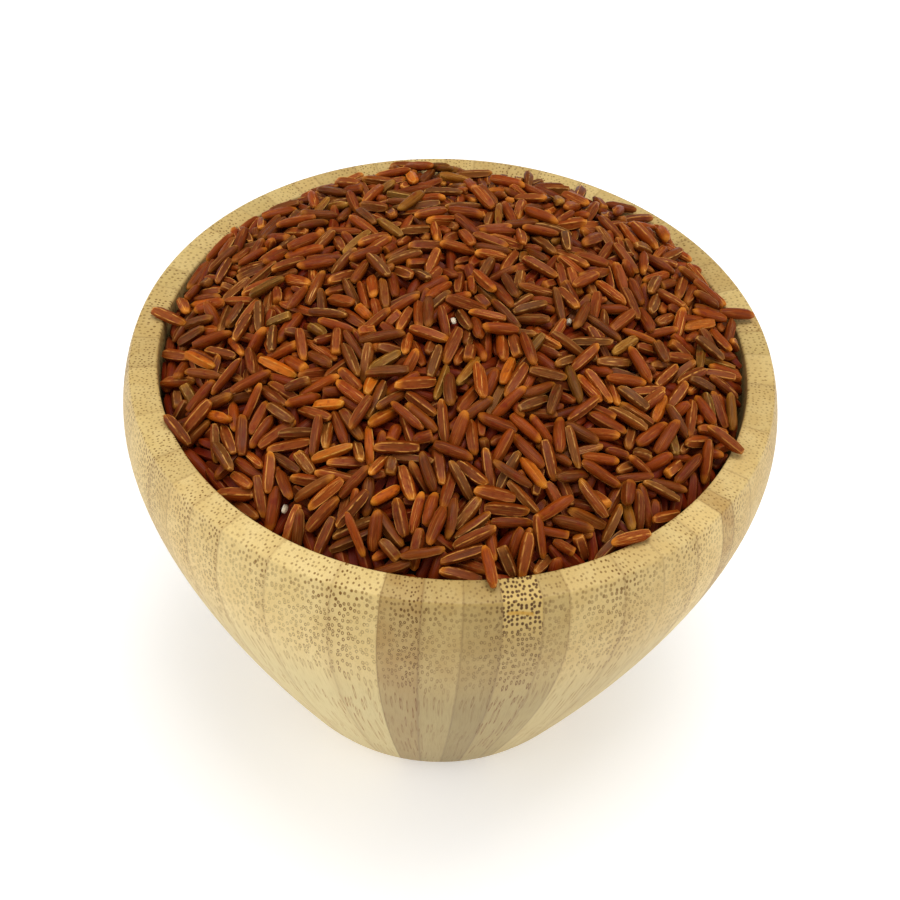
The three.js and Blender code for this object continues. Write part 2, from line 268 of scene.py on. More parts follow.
PALE_WOOD, BROWN_WOOD = (0.73, 0.545, 0.205, 1), (0.52, 0.31, 0.09, 1)
LIGHT_PATCH, OUTERMOST_WOOD = (0.76, 0.58, 0.25, 1), (0.76, 0.52, 0.15, 1)
CUT_ALONG = (0.58, 0.49, 0.23, 1)  # wood that is cut along its fibres
FIBRE_BROWN, SKIN_BROWN, GLUE_BROWN = (0.42, 0.28, 0.11, 1), (0.42, 0.26, 0.08, 1), (0.30, 0.17, 0.05, 1)
BUNDLE_END, BUNDLE_SIDE = (0.180, 0.080, 0.006, 1), (0.36, 0.170, 0.042, 1)
OUTERMOST_BUNDLE, SCRATCH_ORANGE = (0.110, 0.045, 0.005, 1), (0.66, 0.36, 0.045, 1)
BUNDLE_PITCH = 0.80  # from one fibre bundle to the next
FIBRE_LEAN = math.radians(34)  # near the rim the fibres lean outwards by this from upright
FLANK_STARTS = 10.5  # this deep in the wood the cut turns to run nearly along the fibres
FLANK_SLANT = 0.15  # there, the depth gained for each millimetre
SCRATCH_Z, SCRATCH_MIDDLE, SCRATCH_REACH = 78.1, -0.35, 2.15  # its middle and reach across its strip


def bamboo_finish():
    """The wood as a solid: fibres that lean with their strip, whichever way the lathe has cut them."""
    material, make = blank_finish("oiled_bamboo")
    place = make.node("ShaderNodeTexCoord", None, None, "Object")
    place = make.node("ShaderNodeSeparateXYZ", None, {0: place})
    x, y, z = (place.out(axis) * (1 / MM) for axis in "XYZ")
    cos, sin = make.attribute("strip_cos"), make.attribute("strip_sin")
    number, warmth = make.attribute("strip_number"), make.attribute("strip_warmth")
    darkness, crowded_side = make.attribute("bundle_darkness"), make.attribute("crowded_side")
    out = x * cos + y * sin
    across = y * cos - x * sin
    straight = out * math.cos(FIBRE_LEAN) - z * math.sin(FIBRE_LEAN)
    deep = straight.math("SMOOTH_MIN", (straight - FLANK_STARTS) * FLANK_SLANT + FLANK_STARTS, 3.0)
    along = out * math.sin(FIBRE_LEAN) + z * math.cos(FIBRE_LEAN)
    flank = straight.ramp(7.0, 16.0)

    # Fibres wander a little, so that the streaks are not ruled lines.
    wander = make.noise(make.vector(across * 0.06 + number * 7.3, deep * 0.08, along * 0.05), 1.0, 1.0)
    half = out * make.attribute("strip_spread")
    crowded = across / half * crowded_side * 0.5 + 0.5
    side = across * (1.0 + crowded * 0.14) + wander * 1.4
    inward = deep + wander * 0.8

    # Fibre bundles: a brown ring round a pale middle, closer and darker towards the culm's skin.
    closeness = make.attribute("bundle_crowding") * (1 / BUNDLE_PITCH)
    cell = make.node("ShaderNodeTexVoronoi", {"voronoi_dimensions": "2D"}, {
        "Vector": make.vector(side * closeness + number * 13.7, inward * closeness + number * 5.1),
        "Scale": 1.0, "Randomness": 0.72})
    chance = make.node("ShaderNodeSeparateXYZ", None, {0: cell.out("Color")})
    torn = make.noise(make.vector(side * 3.2, inward * 3.2, number), 1.0, 1.0)

    # The darkest strip at the front has the culm's outermost wood at its rim: yellow, with thick
    # bundles that are nearly black, and a short scratch over it.
    outermost = darkness.ramp(1.25, 1.45) * straight.ramp(1.0, 5.5, 1.0, 0.0)
    scratch = abs(z - SCRATCH_Z + across * 0.20 + across * across * 0.06).ramp(0.16, 0.42, 1.0, 0.0)
    scratch = scratch * abs(across - SCRATCH_MIDDLE).ramp(SCRATCH_REACH - 0.5, SCRATCH_REACH, 1.0, 0.0)

    from_middle = cell * (1.0 + flank * 0.4)
    ring = abs(from_middle - 0.24).ramp(0.035, 0.12, 1.0, 0.0) * torn.ramp(0.30, 0.55, 0.35, 1.0)
    ring = ring * straight.ramp(-2.0, 1.0)
    speck = (cell * (1.0 - outermost * 0.32)).ramp(0.13, 0.29, 1.0, 0.0)
    speck = speck * straight.ramp(-0.5, 3.5, 1.1, 0.15).math("MAXIMUM", outermost)
    dots = (ring + speck).math("MINIMUM", 1.0) * (0.45 + chance * 0.45 + outermost * 0.15)
    dots = dots * darkness * (0.5 + crowded * 0.7)
    dots = (dots * straight.ramp(10.0, 32.0, 1.1, 0.6)).math("MINIMUM", 1.0)

    # Fine fibres between the bundles, and slow changes of tone along a strip.
    fibres = make.noise(make.vector(side * 4.5 + number * 3.1, inward * 4.5, along * 0.14), 1.0, 3.0, 0.6)
    patches = make.noise(make.vector(side * 0.30 + number * 9.7, inward * 0.35, along * 0.06), 1.0, 2.0)
    skin = crowded.ramp(0.80, 1.0) * abs(crowded_side)
    joint = half - abs(across)
    glue = joint.ramp(0.03, 0.30, 1.0, 0.0) * (0.3 + patches * 0.7)

    colour = make.blend(warmth, PALE_WOOD, BROWN_WOOD)
    colour = make.blend(patches.ramp(0.35, 0.7) * 0.4, colour, LIGHT_PATCH)
    colour = make.blend(flank * (0.70 - warmth * 0.4), colour, CUT_ALONG)
    colour = make.blend(fibres.ramp(0.45, 0.75) * 0.35, colour, FIBRE_BROWN)
    colour = make.blend(skin * 0.22, colour, SKIN_BROWN)
    colour = make.blend(outermost * 0.55, colour, OUTERMOST_WOOD)
    bundle = make.blend(flank, BUNDLE_END, BUNDLE_SIDE)
    bundle = make.blend(outermost * 0.9, bundle, OUTERMOST_BUNDLE)
    colour = make.blend(dots, colour, bundle)
    colour = make.blend(scratch * outermost * 0.85, colour, SCRATCH_ORANGE)
    colour = make.blend(glue * (0.25 + warmth * 0.6), colour, GLUE_BROWN)

    # A darker strip is also a browner one. Lower on the wall, where it is cut along its fibres, every
    # strip is painted a little darker and the darker strips more so: painted shade for the weaker light
    # low on the wall.
    tone = make.attribute("strip_tone")
    tone = tone + ((tone - 1.0) * 0.22 - 0.08) * flank + outermost * 0.12
    browner = make.vector(tone, tone.math("POWER", 1.15), tone.math("POWER", 1.6))
    colour = make.node("ShaderNodeVectorMath", {"operation": "MULTIPLY"}, {0: colour, 1: browner})

    pores = dots * -0.25 + fibres * 0.3 - glue * 0.3
    bump = make.node("ShaderNodeBump", None, {"Strength": 0.25, "Distance": 0.0001, "Height": pores})
    shader = make.node("ShaderNodeBsdfPrincipled", None, {
        "Base Color": colour, "Roughness": 0.42 + fibres * 0.16 + dots * 0.1, "Normal": bump,
        "Specular IOR Level": 0.35})
    make.node("ShaderNodeOutputMaterial", None, {"Surface": shader})
    return material


bowl = bpy.data.objects.new("bamboo_bowl", bowl_mesh())
bpy.context.scene.collection.objects.link(bowl)
bowl.data.materials.append(bamboo_finish())
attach(bowl, "root")
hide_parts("bowl")


# ---- The rice under the surface -----------------------------------------------------------------
# Nobody sees the rice inside the bowl: one dark mass of it fills the bowl, clear of the wood, and
# domes up to a little under the loose grains, so that the gaps between them have rice behind them.

WALL_GAP = 0.3  # between rice and wood
HEAP_RADIUS = RIM_INNER_RADIUS - 0.5
HEAP_EDGE_Z = BOWL_HEIGHT - 1.2
HEAP_TOP_Z = BOWL_HEIGHT + 10.5
HEAP_ROUNDNESS = 2.1
HIGH_SIDE = math.radians(75)  # where the rice is banked up, from +X
EDGE_LIFT, EDGE_WAVES = 1.9, 0.6  # how much higher the edge is there, and how uneven all round
MASS_UNDER = 3.0  # from the level between the top grains down to the mass
MASS_TURNS, MASS_RINGS, WALL_STEPS = 96, 23, 12
UNDER_DARK, UNDER_RED = (0.014, 0.0005, 0.0001, 1), (0.060, 0.0025, 0.0002, 1)


def heap_level(x, y):
    """The level between the top grains: a dome with an uneven edge, highest at the back."""
    share = np.minimum(1, np.hypot(x, y) / HEAP_RADIUS)
    angle = np.arctan2(y, x)
    lift = EDGE_LIFT * np.cos(angle - HIGH_SIDE) + EDGE_WAVES * np.sin(3 * angle)
    return HEAP_EDGE_Z + (HEAP_TOP_Z - HEAP_EDGE_Z) * (1 - share ** HEAP_ROUNDNESS) + lift * share ** 2


def heap_up(x, y, step=0.5):
    """The way that faces straight out of the heap, for many points at once."""
    up = np.stack([heap_level(x - step, y) - heap_level(x + step, y),
                   heap_level(x, y - step) - heap_level(x, y + step), np.full_like(x, 2 * step)], -1)
    return up / np.linalg.norm(up, axis=-1, keepdims=True)


def mass_mesh():
    """Rings from the crown out to the wall, then down the inside of the bowl to the middle."""
    turns = MASS_TURNS
    angles = np.arange(turns) * 2 * math.pi / turns
    rng = np.random.default_rng(3)
    wall = inner_wall(WALL_STEPS)
    slope = np.gradient(wall, axis=0)
    slope /= np.linalg.norm(slope, axis=1, keepdims=True)
    wall = wall + np.stack([slope[:, 1], -slope[:, 0]], 1) * (WALL_GAP + 0.2)
    points = [(0.0, 0.0, heap_level(np.zeros(1), np.zeros(1))[0] - MASS_UNDER)]
    for radius in np.linspace(2, HEAP_RADIUS - 0.6, MASS_RINGS):
        x, y = radius * np.cos(angles), radius * np.sin(angles)
        rough = rng.uniform(-0.5, 0.2, turns)
        points += list(zip(x, y, heap_level(x, y) - MASS_UNDER + rough))
    for radius, z in wall[wall[:, 1] < HEAP_EDGE_Z - MASS_UNDER - 4]:
        points += [(radius * math.cos(a), radius * math.sin(a), z) for a in angles]
    points.append((0.0, 0.0, FLOOR_Z + WALL_GAP + 0.2))
    rings = (len(points) - 2) // turns
    faces = [(0, 1 + i, 1 + (i + 1) % turns) for i in range(turns)]
    for ring in range(rings - 1):
        a = 1 + ring * turns
        b = a + turns
        faces += [(a + i, b + i, b + (i + 1) % turns, a + (i + 1) % turns) for i in range(turns)]
    last = 1 + (rings - 1) * turns
    faces += [(last + i, len(points) - 1, last + (i + 1) % turns) for i in range(turns)]
    mesh = bpy.data.meshes.new("rice_under_the_surface")
    mesh.from_pydata((np.array(points) * MM).tolist(), [], faces)
    mesh.shade_smooth()
    return mesh


def mass_finish():
    """Deep red, nearly black, as grains look that light only reaches between others."""
    material, make = blank_finish("rice_in_shade")
    place = make.node("ShaderNodeTexCoord", None, None, "Object")
    grains = make.noise(place, 420.0, 3.0, 0.6)
    colour = make.blend(grains, UNDER_DARK, UNDER_RED)
    bump = make.node("ShaderNodeBump", None, {"Strength": 0.6, "Distance": 0.0005, "Height": grains})
    shader = make.node("ShaderNodeBsdfPrincipled", None, {
        "Base Color": colour, "Roughness": 0.6 + grains * 0.2, "Normal": bump})
    make.node("ShaderNodeOutputMaterial", None, {"Surface": shader})
    return material


mass = bpy.data.objects.new("rice_under_the_surface", mass_mesh())
bpy.context.scene.collection.objects.link(mass)
mass.data.materials.append(mass_finish())
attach(mass, "root")
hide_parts("rice")


# ---- The camera ---------------------------------------------------------------------------------
# The photograph was taken from in front and above, about 20 cm from the rim, with the camera
# tilted a little to one side.

EYE = (0.4, -168.55, 235.53)
LOOKS_DOWN = math.radians(47.01)
TILTED = math.radians(3.71)
PICTURE = 900  # pixels each way
PIXELS_PER_SLOPE = 1378.65
SENSOR = 36  # mm

level = Vector((1, 0, 0))
upright = Vector((0, math.sin(LOOKS_DOWN), math.cos(LOOKS_DOWN)))
ahead = Vector((0, math.cos(LOOKS_DOWN), -math.sin(LOOKS_DOWN)))
eye_right = level * math.cos(TILTED) + upright * math.sin(TILTED)
eye_up = upright * math.cos(TILTED) - level * math.sin(TILTED)
camera_data = bpy.data.cameras.new("photograph")
camera_data.sensor_fit = "HORIZONTAL"
camera_data.sensor_width = SENSOR
camera_data.lens = SENSOR * PIXELS_PER_SLOPE / PICTURE
camera_data.clip_start = 0.01
camera = bpy.data.objects.new("photograph", camera_data)
camera.matrix_world = Matrix.Translation(Vector(EYE) * MM) @ Matrix(
    (eye_right, eye_up, -ahead)).transposed().to_4x4()
bpy.context.scene.collection.objects.link(camera)
bpy.context.scene.camera = camera


def in_picture(points):
    """Where points of the object, in millimetres, fall in the picture, in pixels from its top left."""
    seen = points - np.array(EYE)
    depth = seen @ np.array(ahead)
    across = seen @ np.array(eye_right) / depth * PIXELS_PER_SLOPE
    above = seen @ np.array(eye_up) / depth * PIXELS_PER_SLOPE
    return np.stack([PICTURE / 2 + across, PICTURE / 2 - above], -1)


# ---- The loose grains ---------------------------------------------------------------------------
# Raw long-grain red rice: each grain a slim rod about 6 mm long with its bran left on. Poured in,
# the grains lie anyhow, most of them nearly flat on the heap, and only their weight holds them.
# A few lie over the rim, and some are broken.

GRAIN_LENGTH, GRAIN_WIDTH, SIZE_SPREAD = 6.55, 2.0, 0.07
BROKEN_SHARE, BROKEN_LENGTHS = 0.14, (0.42, 0.82)
LAYERS, LAYER_THICK = (560, 530, 390), 1.9
EDGE_GRAINS, EDGE_BAND = 120, 41.0  # these lie on the layers, from this far out to the wall
POURED_DEEP = 2.6  # the lowest layer lies this far under the heap's level
TILT = 0.42  # how far the grains lie out of the heap's own slope
SHIFT, LOOSE = 0.7, 0.6  # how far each grain is off the even spread, sideways and upwards

# Grains over or beside the rim that the photograph shows, each by its two ends.
RIM_GRAINS = [
    ((7.9, -50.41, 81.05), (6.15, -44.46, 82.86)),
    ((-50.69, 2.91, 81.25), (-44.7, 0.61, 80.3)),
    ((30.57, -38.53, 81.1), (24.61, -40.53, 80.7)),
    ((50.83, 11.37, 81.25), (44.44, 10.07, 82.25)),
    ((45.7, -21.26, 81.1), (40.16, -17.65, 83.13)),
    ((-43.97, -20.96, 81.1), (-39.75, -25.1, 78.9)),
    ((-14.45, 47.8, 81.05), (-7.9, 47.9, 81.05)),
    ((34.9, 36.8, 81.2), (28.9, 34.3, 81.9)),
    ((37.9, 28.9, 81.05), (35.0, 34.6, 81.05)),
    ((46.0, 13.6, 81.0), (41.6, 18.6, 80.8)),
    ((31.9, 38.8, 81.1), (26.0, 39.6, 81.4)),
    ((42.6, 22.1, 81.2), (37.0, 22.8, 81.7)),
]


def poured_grains(rng):
    """Grains spread evenly in layers, each turned its own way: middles and directions."""
    golden = math.pi * (3 - math.sqrt(5))
    beds = [(count, 0.0, HEAP_RADIUS - 1.3 - 0.3 * layer) for layer, count in enumerate(LAYERS)]
    beds.append((EDGE_GRAINS, EDGE_BAND, HEAP_RADIUS - 1.4))
    middles, ways = [], []
    for layer, (count, inside, outside) in enumerate(beds):
        steps = np.arange(count) + 0.5
        out = np.sqrt(inside ** 2 + (outside ** 2 - inside ** 2) * steps / count)
        angle = steps * golden + rng.uniform(0, 2 * math.pi)
        x = out * np.cos(angle) + rng.uniform(-SHIFT, SHIFT, count)
        y = out * np.sin(angle) + rng.uniform(-SHIFT, SHIFT, count)
        z = heap_level(x, y) - POURED_DEEP + LAYER_THICK / 2 + LAYER_THICK * layer
        z = z + rng.uniform(0, LOOSE, count)
        up = heap_up(x, y)
        heading = rng.uniform(0, 2 * math.pi, count)
        flat = np.stack([np.cos(heading), np.sin(heading), np.zeros(count)], -1)
        way = flat - up * (flat * up).sum(-1, keepdims=True)
        way /= np.linalg.norm(way, axis=-1, keepdims=True)
        way += up * rng.normal(0, TILT, count)[:, None]
        middles.append(np.stack([x, y, z], -1))
        ways.append(way / np.linalg.norm(way, axis=-1, keepdims=True))
    return np.concatenate(middles), np.concatenate(ways)


BEADS = np.array([0.72, 0.98, 1.0, 0.98, 0.72])  # a grain as a row of beads: how wide each one is
BEAD_RADIUS, ENDS_INSIDE = 0.46, 0.33  # a full bead, and how far the last ones stay in, for the width
FAST_PULL, SLOW_PULL, SLOW_AFTER = 0.09, 0.04, 0.7  # mm in a round, and the share that is fast
LOOK_AROUND, CLOSE_BY = 8, 0.7  # rounds between looks for neighbours, and the gap that counts (mm)
PUSH_SHARED = 0.55  # the more a grain touches, the less each push moves it
EASE_OF_TURNING = 7


def let_settle(middles, ways, lengths, widths, held, rounds=170, calm=50):
    """Pulls the grains down on the heap while they push each other away and keep off the wood.

    Held grains push but don't move. The last rounds only push."""
    beads = np.linspace(-1, 1, len(BEADS))
    radius = (widths * BEAD_RADIUS)[:, None] * BEADS[None, :]
    reach = lengths / 2 - widths * ENDS_INSIDE
    arm = beads[None, :] * reach[:, None]
    free = np.where(held, 0.0, 1.0)
    count = len(middles)
    for step in range(rounds + calm):
        if step < rounds:
            pull = FAST_PULL if step < rounds * SLOW_AFTER else SLOW_PULL
            middles = middles - heap_up(middles[:, 0], middles[:, 1]) * pull * free[:, None]
        bead = middles[:, None, :] + ways[:, None, :] * arm[:, :, None]
        if step % LOOK_AROUND == 0:
            apart = ((middles[:, None, :] - middles[None, :, :]) ** 2).sum(-1)
            near = lengths[:, None] / 2 + lengths[None, :] / 2 + 0.6
            first, second = np.nonzero(np.triu(apart < near * near, 1))
            gap = np.linalg.norm(bead[first][:, :, None, :] - bead[second][:, None, :, :], axis=-1)
            gap -= radius[first][:, :, None] + radius[second][:, None, :]
            pair, bead_a, bead_b = np.nonzero(gap < CLOSE_BY)
            grain_a, grain_b = first[pair], second[pair]
        between = bead[grain_a, bead_a] - bead[grain_b, bead_b]
        distance = np.linalg.norm(between, axis=-1) + 1e-9
        lap = radius[grain_a, bead_a] + radius[grain_b, bead_b] - distance
        hit = lap > 0
        push = between[hit] / distance[hit][:, None] * (lap[hit] * 0.5)[:, None]

        # Off the mass below, and off the wood.
        x, y, z = bead[..., 0], bead[..., 1], bead[..., 2]
        out = np.hypot(x, y) + 1e-9
        sunk = np.maximum(0, heap_level(x, y) - POURED_DEEP + radius * 0.9 - z)
        low_grain, low_bead = np.nonzero(sunk > 0)
        up = heap_up(x, y)[low_grain, low_bead]
        lift = up * (sunk[low_grain, low_bead] * up[:, 2])[:, None]
        into = np.maximum(0, out + radius + WALL_GAP - RIM_INNER_RADIUS)
        wood_grain, wood_bead = np.nonzero(into > 0)
        wx, wy, wout = (q[wood_grain, wood_bead] for q in (x, y, out))
        shove = np.stack([-wx / wout, -wy / wout, np.zeros_like(wx)], -1)
        shove *= into[wood_grain, wood_bead][:, None]

        # Each grain moves and turns by all that push it.
        grain = np.concatenate([grain_a[hit], grain_b[hit], low_grain, wood_grain])
        which = np.concatenate([bead_a[hit], bead_b[hit], low_bead, wood_bead])
        moves = np.concatenate([push, -push, lift, shove])
        touches = np.bincount(grain, minlength=count)
        twist = np.cross(ways[grain] * arm[grain, which][:, None], moves)
        share = free / np.maximum(1, touches * PUSH_SHARED)
        middles = middles + np.stack(
            [np.bincount(grain, moves[:, k], count) for k in range(3)], -1) * share[:, None]
        spin = np.stack([np.bincount(grain, twist[:, k], count) for k in range(3)], -1)
        ways = ways + np.cross(spin * (share * EASE_OF_TURNING / lengths ** 2)[:, None], ways)
        ways /= np.linalg.norm(ways, axis=-1, keepdims=True)
    return middles, ways


rng = np.random.default_rng(11)
middles, ways = poured_grains(rng)
ends = np.array(RIM_GRAINS)
lengths = GRAIN_LENGTH * (1 + SIZE_SPREAD * rng.normal(size=len(middles))).clip(0.86, 1.12)
is_broken = rng.random(len(middles)) < BROKEN_SHARE
lengths[is_broken] *= rng.uniform(*BROKEN_LENGTHS, is_broken.sum())
widths = GRAIN_WIDTH * (1 + SIZE_SPREAD * rng.normal(size=len(middles))).clip(0.84, 1.12)
middles = np.concatenate([middles, ends.mean(1)])
spans = ends[:, 0] - ends[:, 1]
ways = np.concatenate([ways, spans / np.linalg.norm(spans, axis=1, keepdims=True)])
lengths = np.concatenate([lengths, np.linalg.norm(spans, axis=1)])
widths = np.concatenate([widths, np.full(len(ends), GRAIN_WIDTH)])
is_broken = np.concatenate([is_broken, np.zeros(len(ends), bool)])
held = np.arange(len(middles)) >= len(middles) - len(ends)
middles, ways = let_settle(middles, ways, lengths, widths, held)

# A grain that stands higher than the heap does is left out.
tops = middles[:, 2] + abs(ways[:, 2]) * lengths / 2 + np.sqrt(1 - ways[:, 2] ** 2) * widths / 2
low = tops < cad_box[1][2] / MM - 0.1
middles, ways, lengths, widths, is_broken, held = (
    values[low] for values in (middles, ways, lengths, widths, is_broken, held))


# Each kind of grain: its own shape, size and colours. The share is of the grains that no place
# in the photograph settles, and the places are of grains that stand out there, in pixels.
KINDS = {
    "red": dict(share=0.60, width=1.0, bend=0.05, notch=0.35, places=[],
                face=(0.205, 0.046, 0.0065), flank=(0.195, 0.032, 0.0008),
                tip=(0.66, 0.205, 0.014), gold=(0.82, 0.37, 0.07)),
    "brown": dict(share=0.30, width=0.92, bend=0.10, notch=0.30, places=[],
                  face=(0.155, 0.050, 0.008), flank=(0.150, 0.031, 0.0014),
                  tip=(0.46, 0.155, 0.012), gold=(0.72, 0.36, 0.09)),
    "orange": dict(share=0.02, width=0.98, bend=0.04, notch=0.35,
                   places=[(367, 440), (388, 410), (662, 408), (388, 485), (330, 445), (200, 367),
                           (218, 420), (705, 330)],
                   face=(0.46, 0.120, 0.006), flank=(0.38, 0.075, 0.002),
                   tip=(0.66, 0.24, 0.015), gold=(0.80, 0.42, 0.08)),
    "golden": dict(share=0.045, width=0.90, bend=0.08, notch=0.30,
                   places=[(495, 222), (270, 295), (731, 410)],
                   face=(0.190, 0.080, 0.010), flank=(0.18, 0.058, 0.003),
                   tip=(0.42, 0.18, 0.020), gold=(0.66, 0.37, 0.09)),
    "pale": dict(share=0.0, width=1.0, bend=0.02, notch=0.2,
                 places=[(561, 325), (460, 327), (298, 506)],
                 face=(0.78, 0.68, 0.50), flank=(0.70, 0.55, 0.36),
                 tip=(0.85, 0.77, 0.60), gold=(0.90, 0.84, 0.70)),
}
CHIP_LENGTH, CHIP_WIDTH = 0.22, 0.5  # a pale chip, as shares of the grain that it broke from
# A grain across: a broad face with a shallow furrow between two ridges, and a rounder belly.
SECTION = [(1.0, 0.16), (0.60, 0.92), (0.0, 0.83), (-0.60, 0.92), (-1.0, 0.16), (-0.70, -0.78),
           (0.0, -0.96), (0.70, -0.78)]
RIDGES = (1, 3)  # the corners of the section that are sharp
# A grain lengthwise: where each ring is, from the germ end at -1 to the tip at 1, and how wide.
BODY = [(-0.97, 0.40), (-0.86, 0.76), (-0.56, 0.98), (0.16, 1.0), (0.70, 0.85), (0.94, 0.46)]
SNAPPED = [(-0.97, 0.38), (-0.85, 0.74), (-0.45, 0.98), (0.35, 1.0), (0.86, 0.95), (0.975, 0.76)]
SKEW = 0.11  # the ends are cut a little aslant
FLATNESS, ROLL = 0.80, 0.75  # thickness for width, and how far grains roll about their length
SHADED_FROM = (-0.3, 1.9)  # painted shade: grains between these depths under the heap's level are painted darker, down to deep red
DEEP_RED = (0.140, 0.0055, 0.0001, 1)  # deep red, nearly black: the bran's own colour in blotches, and painted shade on grains deep in the heap, as light that has gone through the bran leaves them
HIGHER_IS_NEARER = 6.0  # pixels off its place that a grain makes up for with each millimetre of height


def grain_mesh(name, rings, bend, notch):
    """One grain along Z, of length, width and thickness 1, with a slanting nick at its germ end."""
    points, shares = [], []
    for along, wide in rings:
        for x, y in SECTION:
            low = 1 - notch if along < -0.7 and y < 0 else 1
            aslant = SKEW * x * wide * (abs(along) > 0.6) * (abs(along) < 0.96)
            points.append((x * wide / 2, y * wide * low / 2 - bend * along * along,
                           along / 2 + aslant / 2))
            shares.append((x, y, along))
    for along in (-1.0, 1.0):
        points.append((0.0, -bend * along * along + 0.04, along / 2))
        shares.append((0.0, 0.4, along))
    sides, last = len(SECTION), len(points) - 1
    faces = [(last - 1, (k + 1) % sides, k) for k in range(sides)]
    for ring in range(len(rings) - 1):
        a = ring * sides
        faces += [(a + k, a + (k + 1) % sides, a + sides + (k + 1) % sides, a + sides + k)
                  for k in range(sides)]
    top = (len(rings) - 1) * sides
    faces += [(last, top + k, top + (k + 1) % sides) for k in range(sides)]
    mesh = bpy.data.meshes.new(name)
    mesh.from_pydata(points, [], faces)
    mesh.shade_smooth()
    mesh.attributes.new("on_grain", "FLOAT_VECTOR", "POINT").data.foreach_set(
        "vector", np.array(shares, float).ravel())
    creased = []
    for edge in mesh.edges:
        corners = {vertex % sides for vertex in edge.vertices}
        creased.append(len(corners) == 1 and corners <= set(RIDGES) and max(edge.vertices) < last - 1)
    mesh.attributes.new("sharp_edge", "BOOLEAN", "EDGE").data.foreach_set("value", creased)
    return mesh


def rice_finish(name, face, flank, tip, gold):
    """Bran: dull brown on the broad face, redder flanks, amber tips, gold where the skin is thin; the
    tips also carry a painted glow, the gold edges and threads painted highlights, and grains deep in the
    heap painted shade.
    """
    material, make = blank_finish(name)
    spot = make.node("ShaderNodeSeparateXYZ", None, {0: make.attribute("on_grain", 1)})
    across, deep, along = (spot.out(axis) for axis in "XYZ")
    tone, seed = make.attribute("grain_tone"), make.attribute("grain_seed")
    streaks = make.vector(across * 3.0 + seed * 91.0, deep * 3.0, along * 1.2)
    streaks = make.noise(streaks, 1.0, 3.0, 0.6)
    blotches = make.noise(make.vector(across * 0.9 + seed * 57.0, deep, along * 2.4), 1.0, 2.0)
    threads = make.noise(make.vector(across * 8.0 + seed * 33.0, deep * 8.0, along * 0.9), 1.0, 2.0)

    # The bran, lighter or darker from grain to grain, and deep red in blotches.
    colour = make.blend(deep.ramp(0.45, 0.85) * (0.35 + seed * 0.65), (*flank, 1), (*face, 1))
    colour = make.shade(colour, 0.54 + tone * 0.74 + streaks.ramp(0.3, 0.7) * 0.44)
    colour = make.blend(blotches.ramp(0.52, 0.74) * 0.6, colour, DEEP_RED)

    # Rubbed thin at the tips, along the ridges and round the ends, and in threads on some grains. These
    # lighter marks are partly the bran's own wear and partly painted light: a painted glow of light
    # through the thin tips, and painted highlights and glints on the ridges, ends and threads.
    point = (abs(along) * 0.88 + along * 0.12).ramp(0.58, 0.94) * (0.25 + tone * 0.75)
    colour = make.blend(point * 0.95, colour, (*tip, 1))
    # The gold edges along the ridges and round the ends: worn bran and painted highlight.
    ridge = (1 - abs(abs(across) - 0.60).ramp(0.02, 0.14)) * deep.ramp(0.4, 0.75)
    around_end = (1 - abs(abs(along) - 0.94).ramp(0.01, 0.05)) * deep.ramp(-0.2, 0.5)
    edge = ridge.math("MAXIMUM", around_end) * blotches.ramp(0.38, 0.58) * (0.10 + seed * 0.72)
    colour = make.blend(edge, colour, (*gold, 1))
    # Paler threads on some grains: the bran's own mottling and painted glints.
    mottling_and_glints = threads.ramp(0.58, 0.72) * (0.2 + tone.ramp(0.82, 0.96) * 0.7)
    colour = make.blend(mottling_and_glints, colour, (*[min(1, c * 1.25) for c in gold], 1))

    # Painted shade: grains that lie deep under the heap's level are blended towards deep red, as if
    # little light reached them.
    colour = make.blend(make.attribute("in_the_light"), DEEP_RED, colour)
    bump = make.node("ShaderNodeBump", None, {"Strength": 0.4, "Distance": 0.00012,
                                              "Height": threads + streaks * 0.5})
    shader = make.node("ShaderNodeBsdfPrincipled", None, {
        "Base Color": colour, "Roughness": 0.36 + blotches * 0.2, "Normal": bump,
        "Specular IOR Level": 0.13})
    make.node("ShaderNodeOutputMaterial", None, {"Surface": shader})
    return material


def scatter_tree():
    """Sets one grain on every point, turned and sized as the point says, with its own tone."""
    tree = bpy.data.node_groups.new("grains_in_place", "GeometryNodeTree")
    for name, kind in (("Places", "NodeSocketGeometry"), ("Grain", "NodeSocketObject"),
                       ("Width", "NodeSocketFloat"), ("Thickness", "NodeSocketFloat"),
                       ("Length", "NodeSocketFloat"), ("Seed", "NodeSocketInt"),
                       ("Finish", "NodeSocketMaterial")):
        tree.interface.new_socket(name, in_out="INPUT", socket_type=kind)
    tree.interface.new_socket("Grains", in_out="OUTPUT", socket_type="NodeSocketGeometry")
    make = Wire(tree)
    given = make.node("NodeGroupInput")
    places = given.out("Places")
    for offset, name in enumerate(("grain_tone", "grain_seed")):
        chance = make.node("FunctionNodeRandomValue", {"data_type": "FLOAT"},
                           {"Seed": given.out("Seed") + offset}, 1)
        places = make.node("GeometryNodeStoreNamedAttribute", {"data_type": "FLOAT"},
                           {"Geometry": places, "Name": name, "Value": chance})
    turn = make.node("GeometryNodeInputNamedAttribute", {"data_type": "FLOAT_VECTOR"}, {"Name": "turn"})
    size = make.node("GeometryNodeInputNamedAttribute", {"data_type": "FLOAT_VECTOR"}, {"Name": "size"})
    full = make.vector(given.out("Width"), given.out("Thickness"), given.out("Length"))
    size = make.node("ShaderNodeVectorMath", {"operation": "MULTIPLY"}, {0: size, 1: full})
    turn = make.node("FunctionNodeEulerToRotation", None, {0: turn})
    shape = make.node("GeometryNodeObjectInfo", None, {"Object": given.out("Grain")}, "Geometry")
    grains = make.node("GeometryNodeInstanceOnPoints", None, {
        "Points": places, "Instance": shape, "Rotation": turn, "Scale": size})
    grains = make.node("GeometryNodeRealizeInstances", None, {0: grains})
    grains = make.node("GeometryNodeSetMaterial", None, {
        "Geometry": grains, "Material": given.out("Finish")})
    make.node("NodeGroupOutput", None, {0: grains})
    return tree


